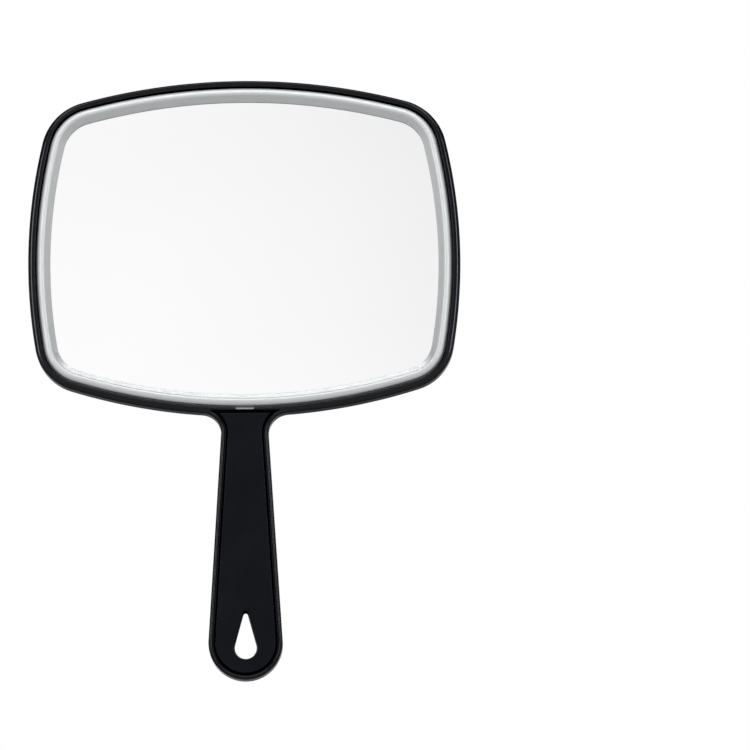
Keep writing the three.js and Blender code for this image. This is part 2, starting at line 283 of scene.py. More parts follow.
def paddle_outline(side_inset, end_inset):
    return mirrored(paddle_half(side_inset, end_inset, -math.pi / 2))


def neck_circle():
    """The fillet between the paddle's bottom arc and the handle's straight side."""
    bottom = paddle_circles()[1]
    normal = np.array([math.cos(TAPER), math.sin(TAPER)])
    upward = np.array([-math.sin(TAPER), math.cos(TAPER)])
    start = np.array([0.0, END_Z]) + normal * (END_RADIUS + NECK_FILLET)
    to_start = start - bottom.centre
    reach = bottom.radius + NECK_FILLET
    half = to_start @ upward
    travel = -half - math.sqrt(half ** 2 - to_start @ to_start + reach ** 2)
    return Circle(start + upward * travel, NECK_FILLET)


NECK = neck_circle()


def handle_half(inset, fillet_end):
    """Right side of the handle up to an angle on its neck fillet."""
    end = circle(0, END_Z, END_RADIUS - inset)
    fillet = Circle(NECK.centre, NECK.radius + inset)
    round_end = arc(end, -math.pi / 2, TAPER, END_STEPS)
    neck = arc(fillet, math.pi + TAPER, fillet_end, FILLET_STEPS, hollow=True)
    points = np.concatenate([round_end.points, neck.points])
    return Outline(points, np.concatenate([round_end.inward, neck.inward]))


def frame_outline():
    """The whole frame's outline: paddle, neck fillets and handle."""
    bottom = paddle_circles()[1]
    fillet_end = bearing(NECK.centre, bottom.centre)
    start_angle = bearing(bottom.centre, NECK.centre)
    return mirrored(chain([handle_half(0, fillet_end), paddle_half(0, 0, start_angle)]))


def tray_outline(inset, top):
    """The handle's outline below a straight top edge, whose corners are pointed."""
    fillet_end = math.pi - math.asin((top - NECK.centre[1]) / (NECK.radius + inset))
    half = handle_half(inset, fillet_end)
    half.inward[-1] = CORNER_INWARD
    points = np.concatenate([half.points, flipped(half.points[1:])])
    return Outline(points, np.concatenate([half.inward, flipped(half.inward[1:])]))


def teardrop_points(margin):
    """A teardrop round the hanging hole, larger than the hole by a margin."""
    flank = math.asin((HOLE_RADIUS - HOLE_TIP_RADIUS) / HOLE_TIP_RISE)
    round_end = circle(0, HOLE_Z, HOLE_RADIUS + margin)
    tip = circle(0, HOLE_Z + HOLE_TIP_RISE, HOLE_TIP_RADIUS + margin)
    lower = arc(round_end, -math.pi / 2, flank, END_STEPS).points
    upper = arc(tip, flank, math.pi / 2, TIP_STEPS).points
    half = np.concatenate([lower, upper])
    return np.concatenate([half, flipped(half[1:-1])])


def half_width(z, inset):
    """Half the handle's width at a height, moved inward, above its round end."""
    radius = END_RADIUS - inset
    fillet = NECK.radius + inset
    straight = radius / math.cos(TAPER) - (z - END_Z) * math.tan(TAPER)
    rise = np.clip(z - NECK.centre[1], 0, fillet)
    curved = NECK.centre[0] - np.sqrt(fillet ** 2 - rise ** 2)
    return np.where(z > NECK.centre[1], curved, straight)


def inset_points(outline, distance):
    """The outline moved inward by one distance, or by one for each point."""
    return outline.points + outline.inward * np.reshape(distance, (-1, 1))


def smooth(t):
    """Eases from 0 to 1 as t goes from 0 to 1."""
    t = np.clip(t, 0, 1)
    return t * t * (3 - 2 * t)


def quarter(width, depth, steps=EDGE_STEPS):
    """(across, down) along a quarter ellipse, from its flat top to its upright side."""
    for angle in np.linspace(0, math.pi / 2, steps + 1):
        yield width * math.sin(angle), depth * (1 - math.cos(angle))


# ---- Shells -------------------------------------------------------------------------

WHOLE_HULL = 0  # what the triangulation returns
INSIDE_EDGES = 1
FLAT_EPSILON = 1e-6
ANGLE_SLACK = 1e-6
SHARP_ANGLE = math.radians(38)


def triangulate(points, edges, kind):
    """Triangles between points (x, z), along the edges, and the places of the points."""
    flat = [Vector((x / MM, z / MM)) for x, z in points]
    places, _, faces, origins, _, _ = delaunay_2d_cdt(flat, edges, [], kind, FLAT_EPSILON)
    return np.array([p[:] for p in places]) * MM, faces, origins


def within(point, loop):
    """Whether a point is inside a closed loop: an odd number of its edges lie to the right."""
    x, z = point
    ends = np.roll(loop, -1, axis=0)
    crosses = (loop[:, 1] > z) != (ends[:, 1] > z)
    rise = np.where(crosses, ends[:, 1] - loop[:, 1], 1)
    at = loop[:, 0] + (z - loop[:, 1]) / rise * (ends[:, 0] - loop[:, 0])
    return np.count_nonzero(crosses & (at > x)) % 2 == 1


def loop_edges(count, start=0):
    return [(start + i, start + (i + 1) % count) for i in range(count)]


class Shell:
    """Rings of points and the faces between them, made into one closed mesh object."""

    def __init__(self):
        self.vertices = []
        self.faces = []

    def ring(self, points, y):
        start = len(self.vertices)
        depths = np.broadcast_to(y, len(points))
        self.vertices.extend((p[0], d, p[1]) for p, d in zip(points, depths))
        return list(range(start, len(self.vertices)))

    def wall(self, near, far):
        for (a, b), (c, d) in zip(zip(near, near[1:] + near[:1]), zip(far, far[1:] + far[:1])):
            self.faces.append((a, b, d, c))

    def sweep(self, sections, start=None):
        """A wall through sections (points, y), from a ring if one is given; its last ring."""
        last = start
        for points, y in sections:
            ring = self.ring(points, y)
            if last:
                self.wall(last, ring)
            last = ring
        return last

    def flat(self, ring):
        return np.array([(self.vertices[i][0], self.vertices[i][2]) for i in ring])

    def cap(self, outer, *holes):
        """Fills the flat area inside a ring and outside the holes."""
        members = [i for loop in (outer, *holes) for i in loop]
        edges = []
        for loop in (outer, *holes):
            edges += loop_edges(len(loop), len(edges))
        points = self.flat(members)
        hole_loops = [self.flat(hole) for hole in holes]
        _, faces, origins = triangulate(points, edges, INSIDE_EDGES)
        for face in faces:
            corners = [origins[v][0] for v in face]
            middle = points[corners].mean(axis=0)
            if not any(within(middle, loop) for loop in hole_loops):
                self.faces.append([members[c] for c in corners])

    def build(self, name):
        mesh = bpy.data.meshes.new(name)
        mesh.from_pydata(self.vertices, [], self.faces)
        body = bmesh.new()
        body.from_mesh(mesh)
        bmesh.ops.recalc_face_normals(body, faces=body.faces)
        body.to_mesh(mesh)
        body.free()
        piece = bpy.data.objects.new(name, mesh)
        bpy.context.collection.objects.link(piece)
        return piece


def soften(piece):
    """Smooth shading with crisp creases, and flat faces that stay flat beside round edges."""
    piece.data.shade_smooth()
    piece.data.set_sharp_from_angle(angle=SHARP_ANGLE)
    weigh = piece.modifiers.new("weighted normals", "WEIGHTED_NORMAL")
    weigh.keep_sharp = True


def combine(piece, other, operation):
    """Joins or cuts a piece with another solid, which is used up."""
    modifier = piece.modifiers.new(operation.lower(), "BOOLEAN")
    modifier.operation = operation
    modifier.object = other
    modifier.solver = "EXACT"
    evaluated = piece.evaluated_get(bpy.context.evaluated_depsgraph_get())
    mesh = bpy.data.meshes.new_from_object(evaluated)
    piece.modifiers.clear()
    piece.data = mesh
    bpy.data.objects.remove(other)


def block(low, high, rounding=0.0):
    """A box between two corners, with rounded edges if asked for."""
    low = Vector(low)
    high = Vector(high)
    body = bmesh.new()
    bmesh.ops.create_cube(body, size=1)
    for vertex in body.verts:
        vertex.co = [low[k] + (vertex.co[k] + 0.5) * (high[k] - low[k]) for k in range(3)]
    if rounding:
        bmesh.ops.bevel(body, geom=body.edges[:], offset=rounding, segments=3, affect="EDGES")
    mesh = bpy.data.meshes.new("block")
    body.to_mesh(mesh)
    body.free()
    piece = bpy.data.objects.new("block", mesh)
    bpy.context.collection.objects.link(piece)
    return piece


def place(piece, node, material):
    """Gives a finished piece its material and its body, and hides the CAD node that it replaces."""
    piece.data.materials.clear()
    piece.data.materials.append(material)
    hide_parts(node)
    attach(piece, "root")


# ---- Pieces -------------------------------------------------------------------------


def ramp(points, span):
    """Eases from 0 to 1 across a span of distances from the centre line."""
    start, end = span
    return smooth((np.abs(points[:, 0]) - start) / (end - start))


def paddle_share(points):
    """0 at the neck, rising to 1 along the paddle's rim."""
    return np.where(points[:, 1] > PADDLE_Z, 1.0, ramp(points, RIM_NECK_SPAN))


def frame_sides(shell):
    """The frame's outer wall, rounder at the paddle's sides; the rings at its back and front."""
    outline = frame_outline()
    side_width, depth = RIM_ROUND
    front_width = BEAD_ROUND + (side_width - BEAD_ROUND) * ramp(outline.points, RIM_SIDE_SPAN)
    sections = []
    for across, down in quarter(1, 1):
        y = REAR - BACK_ROUND * down
        sections.append((inset_points(outline, BACK_ROUND * (1 - across)), y))
    for across, down in reversed(list(quarter(1, 1))):
        y = FRONT + depth * down
        sections.append((inset_points(outline, front_width * (1 - across)), y))
    back = shell.ring(*sections[0])
    return back, shell.sweep(sections[1:], back)


def frame_pocket(shell):
    """The pocket for glass and bezel and the opening behind it; rings at front and back."""
    pocket = paddle_outline(RIM_SIDE, RIM_END)
    opening = paddle_outline(RIM_SIDE + LEDGE, RIM_END + LEDGE)
    share = paddle_share(pocket.points)
    rim_width, depth = RIM_INNER_ROUND
    width = STRIP_ROUND + (rim_width - STRIP_ROUND) * share
    sections = []
    for across, down in quarter(1, depth):
        sections.append((inset_points(pocket, -width * (1 - across)), FRONT + down))
    sections.append((pocket.points, LEDGE_FRONT))
    sections.append((opening.points, LEDGE_FRONT))
    sections.append((opening.points, REAR))
    front = shell.ring(*sections[0])
    return front, shell.sweep(sections[1:], front)


def rib_cells():
    """Outlines of the tray's hollows between its cross ribs, from the end to the neck."""
    inset = BEAD + SEAT_WIDTH
    lows = [z + RIB_THICKNESS / 2 for z in RIB_Z]
    highs = [z - RIB_THICKNESS / 2 for z in RIB_Z] + [TRAY_TOP - SEAT_WIDTH]
    end = arc(circle(0, END_Z, END_RADIUS - inset), -math.pi / 2, TAPER, END_STEPS).points
    corner = np.array([[half_width(highs[0], inset), highs[0]]])
    half = np.concatenate([end, corner])
    cells = [np.concatenate([half, flipped(half[1:])])]
    for low, high in zip(lows, highs[1:]):
        heights = np.linspace(low, high, TIP_STEPS)
        side = np.stack([half_width(heights, inset), heights], axis=1)
        cells.append(np.concatenate([side, flipped(side)]))
    return cells


def frame_tray(shell):
    """The handle's tray with its ribs, the boss and the hanging hole; rings at the front."""
    tray = tray_outline(BEAD, TRAY_TOP)
    width, depth = BEAD_INNER_ROUND
    sections = []
    for across, down in quarter(width, depth):
        sections.append((inset_points(tray, across - width), FRONT + down))
    sections.append((tray.points, SEAT_Y))
    front = shell.ring(*sections[0])
    seat = shell.sweep(sections[1:], front)
    cells = rib_cells()
    rims = [shell.ring(cell, SEAT_Y) for cell in cells]
    floors = [shell.sweep([(cell, TRAY_FLOOR)], rim) for cell, rim in zip(cells, rims)]
    shell.cap(seat, *rims)
    boss = shell.ring(teardrop_points(COLLAR), TRAY_FLOOR)
    shell.cap(floors[0], boss)
    for floor in floors[1:]:
        shell.cap(floor)
    boss_top = shell.sweep([(teardrop_points(COLLAR), SEAT_Y)], boss)
    hole = shell.ring(teardrop_points(0), SEAT_Y)
    shell.cap(boss_top, hole)
    return front, hole


def frame_back(shell, hole):
    """The recess in the handle's back and the collar round the hole; the recess's ring."""
    outline = tray_outline(BACK_BEAD, PADDLE_Z - PADDLE_BOTTOM - COVER_INSET)
    sections = []
    for across, down in quarter(BACK_BEAD_ROUND, BACK_RECESS):
        sections.append((inset_points(outline, across - BACK_BEAD_ROUND), REAR - down))
    rim = shell.ring(*sections[0])
    recess = shell.sweep(sections[1:], rim)
    foot = shell.ring(teardrop_points(COLLAR), REAR - BACK_RECESS)
    shell.cap(recess, foot)
    outer = []
    for across, down in reversed(list(quarter(COLLAR_ROUND, BACK_RECESS))):
        outer.append((teardrop_points(COLLAR - COLLAR_ROUND + across), REAR - down))
    collar = shell.sweep(outer[1:], foot)
    inner = []
    for across, down in quarter(FINE_ROUND, FINE_ROUND):
        inner.append((teardrop_points(FINE_ROUND - across), REAR - down))
    edge = shell.ring(*inner[0])
    shell.cap(collar, edge)
    inner.append((teardrop_points(-HOLE_WAIST), WAIST_Y))
    shell.wall(shell.sweep(inner[1:], edge), hole)
    return rim


def make_frame():
    """The black moulding: rim, neck, handle tray and hanging hole, with a notch for the tab."""
    shell = Shell()
    back, front = frame_sides(shell)
    pocket_front, pocket_back = frame_pocket(shell)
    tray_front, hole = frame_tray(shell)
    recess = frame_back(shell, hole)
    shell.cap(front, pocket_front, tray_front)
    shell.cap(back, pocket_back, recess)
    piece = shell.build("frame_moulding")
    low = (-TAB_HALF_WIDTH - GAP, FRONT - PAST, BEZEL_FOOT - TAB_LENGTH - GAP / 2)
    high = (TAB_HALF_WIDTH + GAP, TAB_BACK + GAP, BEZEL_FOOT + PAST)
    combine(piece, block(low, high), "DIFFERENCE")
    soften(piece)
    return piece


def bezel_section():
    """The bezel's closed section as (distance inside its outer edge, y)."""
    lip = GLASS_FRONT - BEZEL_LIFT
    width, drop = SHOULDER
    step_in, step_down = BEZEL_STEP
    step_y = CREST + drop + step_down
    section = [(0.0, GLASS_BACK), (0.0, step_y), (step_in, step_y - step_in)]
    for across, down in reversed(list(quarter(width, drop, SECTION_STEPS))):
        section.append((step_in + width - across, CREST + down))
    for angle in np.linspace(0, SLOPE, SECTION_STEPS + 1)[1:]:
        inward = step_in + width + TURN_RADIUS * math.sin(angle)
        section.append((inward, CREST + TURN_RADIUS * (1 - math.cos(angle))))
    section.append((BEZEL_WIDTH - LIP_BEVEL, lip - LIP_HEIGHT - LIP_BEVEL))
    section.append((BEZEL_WIDTH, lip - LIP_HEIGHT))
    section.append((BEZEL_WIDTH, lip))
    section.append((SKIRT, lip))
    section.append((SKIRT, GLASS_BACK))
    return section


def make_bezel():
    """The silver ring round the glass, with the tab at its foot."""
    outline = paddle_outline(BEZEL_SIDE, BEZEL_END)
    shell = Shell()
    rings = [shell.ring(inset_points(outline, e), y) for e, y in bezel_section()]
    for near, far in zip(rings, rings[1:] + rings[:1]):
        shell.wall(near, far)
    piece = shell.build("bezel_trim")
    low = (-TAB_HALF_WIDTH, TAB_FRONT, BEZEL_FOOT - TAB_LENGTH + GAP / 2)
    high = (TAB_HALF_WIDTH, TAB_BACK, BEZEL_FOOT + SKIRT / 2)
    combine(piece, block(low, high, rounding=TAB_ROUND), "UNION")
    soften(piece)
    return piece


def make_glass():
    """The pane with its ground edges."""
    outline = paddle_outline(GLASS_SIDE, GLASS_END)
    shell = Shell()
    sections = [
        (inset_points(outline, FINE_ROUND), GLASS_FRONT),
        (outline.points, GLASS_FRONT + FINE_ROUND),
        (outline.points, GLASS_BACK - FINE_ROUND),
        (inset_points(outline, FINE_ROUND), GLASS_BACK),
    ]
    front = shell.ring(*sections[0])
    back = shell.sweep(sections[1:], front)
    shell.cap(front)
    shell.cap(back)
    piece = shell.build("glass_pane")
    soften(piece)
    return piece


def make_panel():
    """The handle's inlay: a face above sloping sides, which leave a dark groove round it."""
    flange = tray_outline(BEAD + GAP, TRAY_TOP - GAP).points
    sections = [(flange, PANEL_BACK), (flange, PANEL_STEP)]
    for across, down in reversed(list(quarter(FINE_ROUND, FINE_ROUND))):
        inset = PANEL_INSET + FINE_ROUND - across
        sections.append((tray_outline(BEAD + inset, TRAY_TOP - inset).points, PANEL_FACE + down))
    shell = Shell()
    back = shell.ring(*sections[0])
    front = shell.sweep(sections[1:], back)
    hole = [(teardrop_points(0), PANEL_BACK)]
    for across, down in reversed(list(quarter(FINE_ROUND, FINE_ROUND))):
        hole.append((teardrop_points(FINE_ROUND - across), PANEL_FACE + down))
    hole_back = shell.ring(*hole[0])
    hole_front = shell.sweep(hole[1:], hole_back)
    shell.cap(back, hole_back)
    shell.cap(front, hole_front)
    piece = shell.build("grip_inlay")
    soften(piece)
    return piece


# ---- The cover's scale texture ------------------------------------------------------


def edge_distance(points):
    """How far points inside the cover lie from the cover's edge."""
    circles = paddle_circles(COVER_INSET, COVER_INSET)
    top, bottom, side, top_corner, bottom_corner = circles
    foot, lower, upper, head = paddle_spans(circles)
    folded = np.stack([np.abs(points[:, 0]), points[:, 1]], axis=1)
    spans = [
        (bottom, -math.pi / 2, foot),
        (bottom_corner, foot, lower),
        (side, lower, upper),
        (top_corner, upper, head),
        (top, head, math.pi / 2),
    ]
    nearest = np.full(len(points), np.inf)
    for ring, start, end in spans:
        away = folded - ring.centre
        angles = np.arctan2(away[:, 1], away[:, 0])
        inside = (angles >= start - ANGLE_SLACK) & (angles <= end + ANGLE_SLACK)
        gap = ring.radius - np.hypot(away[:, 0], away[:, 1])
        nearest = np.where(inside & (gap < nearest), gap, nearest)
    return nearest


def cover_depth(distance):
    """The cover's smooth back surface at a distance from its edge."""
    rise = COVER_BACK - COVER_EDGE_Y
    u = 1 - np.clip(distance / COVER_ROLL, 0, 1)
    return COVER_EDGE_Y + rise * np.sqrt(1 - u ** 2)


def scale_offset(x, row):
    """Sideways distance to the middle of the nearest scale of a row; rows are staggered."""
    shift = (row % 2) * SCALE_WIDTH / 2
    return (x - shift + SCALE_WIDTH / 2) % SCALE_WIDTH - SCALE_WIDTH / 2


def scale_margin(x, z, row):
    """How far inside a row's scales a point lies; their round ends point down."""
    across = scale_offset(x, row)
    above_tip = z - PADDLE_Z - row * SCALE_PITCH
    radius = SCALE_WIDTH / 2
    return radius - np.hypot(across, np.maximum(0, radius - above_tip))


def scale_height(x, z, row):
    """A scale's domed surface, highest between its tip and the next row."""
    along = (z - PADDLE_Z - row * SCALE_PITCH) / SCALE_PITCH
    fall = np.minimum(along, SCALE_TAIL) - SCALE_PEAK
    across = scale_offset(x, row) / (SCALE_WIDTH / 2)
    return -SCALE_RISE * (fall / SCALE_SPREAD) ** 2 - SCALE_CROWN * across ** 2


def relief(points):
    """Depth of the texture below the smooth surface. Upper rows overlap lower ones."""
    x, z = points.T
    row = np.floor((z - PADDLE_Z) / SCALE_PITCH)
    height = scale_height(x, z, row - 2)
    for step in (-1, 0):
        cover = np.clip(scale_margin(x, z, row + step) / SCALE_STEP, 0, 1)
        height = height + (scale_height(x, z, row + step) - height) * cover
    return height


def scale_lines():
    """The scales' outlines: the foot and the top of each step, as lists of points."""
    radius = SCALE_WIDTH / 2
    reach = int(FRAME_HIGH.x / SCALE_WIDTH) + 1
    rows = range(-int(PADDLE_BOTTOM / SCALE_PITCH) - 2, int(PADDLE_TOP / SCALE_PITCH) + 1)
    leg = np.linspace(radius, SCALE_PITCH, SCALE_LEG_STEPS + 1)[1:]
    angles = np.linspace(math.pi, 2 * math.pi, SCALE_ARC_STEPS + 1)
    for row in rows:
        tip = PADDLE_Z + row * SCALE_PITCH
        for column in range(-reach, reach + 1):
            x = column * SCALE_WIDTH + (row % 2) * SCALE_WIDTH / 2
            for size in (radius, radius - SCALE_STEP):
                bow = np.stack([x + size * np.cos(angles), tip + radius + size * np.sin(angles)], 1)
                left = np.stack([np.full(SCALE_LEG_STEPS, x - size), tip + leg[::-1]], 1)
                right = np.stack([np.full(SCALE_LEG_STEPS, x + size), tip + leg], 1)
                yield np.concatenate([left, bow, right])


def lattice():
    """Evenly spread points over the paddle, clear of the scales' outlines."""
    half_x = FRAME_HIGH.x
    row_height = SCALE_MESH * math.sin(math.pi / 3)
    xs = np.arange(-half_x, half_x, SCALE_MESH)
    zs = np.arange(PADDLE_Z - PADDLE_BOTTOM, PADDLE_Z + PADDLE_TOP, row_height)
    x, z = np.meshgrid(xs, zs)
    x = x + (np.arange(len(zs)) % 2)[:, None] * SCALE_MESH / 2
    x, z = x.ravel(), z.ravel()
    row = np.floor((z - PADDLE_Z) / SCALE_PITCH)
    margin = scale_margin(x, z, row)
    clear = (margin < -SCALE_CLEARANCE) | (margin > SCALE_STEP + SCALE_CLEARANCE)
    return np.stack([x, z], axis=1)[clear]


def textured_cap(shell, rim):
    """Fills the cover's back inside a ring with the scale texture."""
    groups = [shell.flat(rim)]
    edges = loop_edges(len(rim))
    count = len(rim)
    keep_off = SCALE_BORDER + BORDER_CLEARANCE
    for line in scale_lines():
        inside = edge_distance(line) > keep_off
        number = np.cumsum(inside) - 1 + count
        edges += [(int(number[i]), int(number[i + 1]))
                  for i in range(len(line) - 1) if inside[i] and inside[i + 1]]
        groups.append(line[inside])
        count += int(inside.sum())
    spread = lattice()
    groups.append(spread[edge_distance(spread) > keep_off])
    places, faces, origins = triangulate(np.concatenate(groups), edges, WHOLE_HULL)
    distance = edge_distance(places)
    fade = np.clip((distance - SCALE_BORDER) / SCALE_FADE, 0, 1)
    depth = cover_depth(distance) + relief(places) * fade
    index = []
    for place_xz, y, origin in zip(places, depth, origins):
        if origin and origin[0] < len(rim):
            index.append(rim[origin[0]])
        else:
            index.append(len(shell.vertices))
            shell.vertices.append((place_xz[0], y, place_xz[1]))
    shell.faces += [[index[v] for v in face] for face in faces]


def make_cover():
    """The shell behind the glass: rolled edge, scale texture and a locating lip inside."""
    rise = COVER_BACK - COVER_EDGE_Y
    seat = REAR + SEAM
    inner = COVER_BACK - COVER_WALL
    edge = paddle_outline(COVER_INSET, COVER_INSET)
    lip = paddle_outline(RIM_SIDE + LEDGE + GAP, RIM_END + LEDGE + GAP)
    sections = [
        (inset_points(lip, COVER_LIP), COVER_LIP_FRONT),
        (lip.points, COVER_LIP_FRONT),
        (lip.points, inner - GAP),
        (inset_points(edge, 2 * COVER_WALL), COVER_EDGE_Y + rise * COVER_HAUNCH),
        (inset_points(edge, COVER_WALL), seat),
        (inset_points(edge, COVER_FOOT_ROUND), seat),
        (edge.points, seat + COVER_FOOT_ROUND),
    ]
    last_angle = math.acos(1 - SCALE_BORDER / COVER_ROLL)
    for angle in np.linspace(0, last_angle, EDGE_STEPS + 1):
        inset = COVER_ROLL * (1 - math.cos(angle))
        sections.append((inset_points(edge, inset), COVER_EDGE_Y + rise * math.sin(angle)))
    shell = Shell()
    inside = shell.ring(inset_points(lip, COVER_LIP), inner)
    shell.cap(inside)
    textured_cap(shell, shell.sweep(sections, inside))
    piece = shell.build("scale_cover")
    soften(piece)
    return piece


# ---- Materials ----------------------------------------------------------------------

NOISE_MIDDLE = (0.35, 0.65)  # the range that most of a noise texture's values lie in


def new_material(name, **values):
    """A material with one Principled shader, and values set on the shader's own sockets."""
    material = bpy.data.materials.new(name)
    material.use_nodes = True
    shader = material.node_tree.nodes["Principled BSDF"]
    for key, value in values.items():
        shader.inputs[key.replace("_", " ")].default_value = value
    return material


def add(material, kind, **settings):
    node = material.node_tree.nodes.new(kind)
    for key, value in settings.items():
        setattr(node, key, value)
    return node


def link(material, source, target):
    material.node_tree.links.new(source, target)


def noise(material, size, detail=2.0, stretch=(1, 1, 1)):
    """A noise value whose blobs are about this wide."""
    place_node = add(material, "ShaderNodeTexCoord")
    mapping = add(material, "ShaderNodeMapping")
    mapping.inputs["Scale"].default_value = stretch
    texture = add(material, "ShaderNodeTexNoise")
    texture.inputs["Scale"].default_value = 1 / size
    texture.inputs["Detail"].default_value = detail
    link(material, place_node.outputs["Object"], mapping.inputs["Vector"])
    link(material, mapping.outputs["Vector"], texture.inputs["Vector"])
    return texture.outputs["Fac"]


def spread(material, value, low, high):
    """Maps a noise value onto a range."""
    node = add(material, "ShaderNodeMapRange")
    node.inputs["From Min"].default_value = NOISE_MIDDLE[0]
    node.inputs["From Max"].default_value = NOISE_MIDDLE[1]
    node.inputs["To Min"].default_value = low
    node.inputs["To Max"].default_value = high
    link(material, value, node.inputs["Value"])
    return node.outputs["Result"]


def vary_colour(material, value, first, second):
    """Base colour between two colours, as a noise value goes."""
    node = add(material, "ShaderNodeMix", data_type="RGBA")
    node.inputs["A"].default_value = (*first, 1)
    node.inputs["B"].default_value = (*second, 1)
    link(material, spread(material, value, 0, 1), node.inputs["Factor"])
    shader = material.node_tree.nodes["Principled BSDF"]
    link(material, node.outputs["Result"], shader.inputs["Base Color"])


def vary_roughness(material, value, low, high):
    shader = material.node_tree.nodes["Principled BSDF"]
    link(material, spread(material, value, low, high), shader.inputs["Roughness"])


def roughen(material, *layers):
    """Bump from layers of (noise value, height of its relief)."""
    below = None
    for value, height in layers:
        node = add(material, "ShaderNodeBump")
        node.inputs["Distance"].default_value = height
        link(material, value, node.inputs["Height"])
        if below:
            link(material, below, node.inputs["Normal"])
        below = node.outputs["Normal"]
    shader = material.node_tree.nodes["Principled BSDF"]
    link(material, below, shader.inputs["Normal"])


EDGE_TINT = (0.2, 0.2, 0.2, 1)  # keeps the glare of black plastic at grazing angles low
ACROSS_GRIP = (1, 1, 0.08)      # stretches a noise along the handle
WIPED = (1, 1, 0.4)

# The two ends of each material's range of colours
FRAME_BLACK = ((0.0145, 0.0152, 0.0172), (0.0165, 0.0172, 0.0192))
PANEL_BLACK = ((0.0086, 0.0092, 0.0118), (0.0102, 0.0110, 0.0138))
COVER_BLACK = ((0.0036, 0.0056, 0.0096), (0.0050, 0.0070, 0.0114))
SILVER = ((0.385, 0.395, 0.393), (0.43, 0.44, 0.438))
SILVERING = ((0.972, 0.970, 0.974), (0.980, 0.978, 0.983))
FOAM_GREY = ((0.055, 0.056, 0.060), (0.085, 0.087, 0.092))


def frame_plastic():
    """Semi-gloss black moulding: faint flow marks, orange peel and fine polish marks."""
    material = new_material("frame_plastic", Metallic=1.0, Specular_Tint=EDGE_TINT)
    vary_colour(material, noise(material, size=25 * MM), *FRAME_BLACK)
    vary_roughness(material, noise(material, size=5 * MM, detail=5), low=0.15, high=0.20)
    peel = noise(material, size=2.2 * MM)
    polish = noise(material, size=0.5 * MM, detail=3, stretch=ACROSS_GRIP)
    roughen(material, (peel, 0.006 * MM), (polish, 0.0015 * MM))
    return material


def panel_plastic():
    """Smooth satin black inlay."""
    material = new_material("panel_plastic", Metallic=1.0, Specular_Tint=EDGE_TINT)
    vary_colour(material, noise(material, size=18 * MM), *PANEL_BLACK)
    vary_roughness(material, noise(material, size=4 * MM, detail=5), low=0.22, high=0.29)
    peel = noise(material, size=1.6 * MM)
    grain = noise(material, size=0.3 * MM)
    roughen(material, (peel, 0.004 * MM), (grain, 0.001 * MM))
    return material


def cover_plastic():
    """Satin blue-black plastic with a fine moulded grain."""
    material = new_material("cover_plastic", Specular_IOR_Level=0.2)
    vary_colour(material, noise(material, size=14 * MM, detail=3), *COVER_BLACK)
    vary_roughness(material, noise(material, size=6 * MM, detail=5), low=0.28, high=0.36)
    grain = noise(material, size=0.35 * MM, detail=3)
    waves = noise(material, size=3 * MM)
    roughen(material, (waves, 0.01 * MM), (grain, 0.003 * MM))
    return material


def silver_trim():
    """Satin silver paint with fine flakes."""
    material = new_material("silver_trim", Metallic=0.55, Specular_IOR_Level=0.5)
    vary_colour(material, noise(material, size=0.25 * MM, detail=3), *SILVER)
    vary_roughness(material, noise(material, size=4 * MM, detail=4), low=0.40, high=0.48)
    flakes = noise(material, size=0.2 * MM)
    waves = noise(material, size=3 * MM)
    roughen(material, (flakes, 0.0012 * MM), (waves, 0.002 * MM))
    return material


def silvered_glass():
    """Flat silvered float glass with faint wipe marks."""
    material = new_material("silvered_glass", Metallic=1.0)
    vary_colour(material, noise(material, size=60 * MM), *SILVERING)
    wipes = noise(material, size=14 * MM, detail=6, stretch=WIPED)
    vary_roughness(material, wipes, low=0.012, high=0.035)
    return material


def foam():
    """Grey closed-cell foam."""
    material = new_material("foam", Roughness=0.92, Specular_IOR_Level=0.2)
    vary_colour(material, noise(material, size=1.2 * MM, detail=4), *FOAM_GREY)
    cells = add(material, "ShaderNodeTexVoronoi")
    cells.inputs["Scale"].default_value = 1 / (0.8 * MM)
    place_node = add(material, "ShaderNodeTexCoord")
    link(material, place_node.outputs["Object"], cells.inputs["Vector"])
    roughen(material, (cells.outputs["Distance"], 0.15 * MM))
    return material


# ---- Studio -------------------------------------------------------------------------

LOOK_UP = math.radians(10)         # the camera looks up at the mirror from below
ROLL = math.radians(0.4)
LENS = 300
SENSOR = 36
FIELD = 325.0 * MM                 # width of the view where the mirror is
AIM_ASIDE = 56.5 * MM              # the view's centre, to the right of the handle's axis
AIM_UP = 72.4 * MM                 # and above the origin
CLIP = (0.05, 50)
FLOOR_Z = -0.5
FLOOR_BEHIND = 0.7                 # the floor's centre, behind the mirror
FLOOR_RADIUS = 9.0
FLOOR_SIDES = 128
WHITE = (1.0, 1.0, 1.0, 1)
DIM = (0.22, 0.235, 0.27, 1)

# The room's white parts: each fades to dim between two values of a direction's measure
PANEL_DIRECTION = (-0.06, -0.99, 0.09)
PANEL_SQUEEZE = (1, 1, 0.55)
PANEL_FADE = (0.04, 0.26)
HORIZON_FADE = (0.08, 0.20)
BACK_FADE = (0.972, 0.92)
SIDE_FADE = (0.98, 0.8)

FLOOR_COLOUR = (0.66, 0.66, 0.66, 1)
# Painted light: the floor glows white, turning from lit grey to emitted white between these
# distances
FLOOR_GLOW_SPAN = (0.3, 3.0)             # distances from its centre


def make_camera():
    data = bpy.data.cameras.new("camera")
    data.sensor_width = SENSOR
    data.lens = LENS
    data.clip_start, data.clip_end = CLIP
    camera = bpy.data.objects.new("camera", data)
    bpy.context.collection.objects.link(camera)
    distance = FIELD * LENS / SENSOR
    aim = Vector((AIM_ASIDE, FRONT, AIM_UP))
    ahead = Vector((0, math.cos(LOOK_UP), math.sin(LOOK_UP)))
    camera.location = aim - ahead * distance
    tilt = Matrix.Rotation(math.pi / 2 + LOOK_UP, 3, "X")
    camera.rotation_euler = (tilt @ Matrix.Rotation(-ROLL, 3, "Z")).to_euler()
    bpy.context.scene.camera = camera


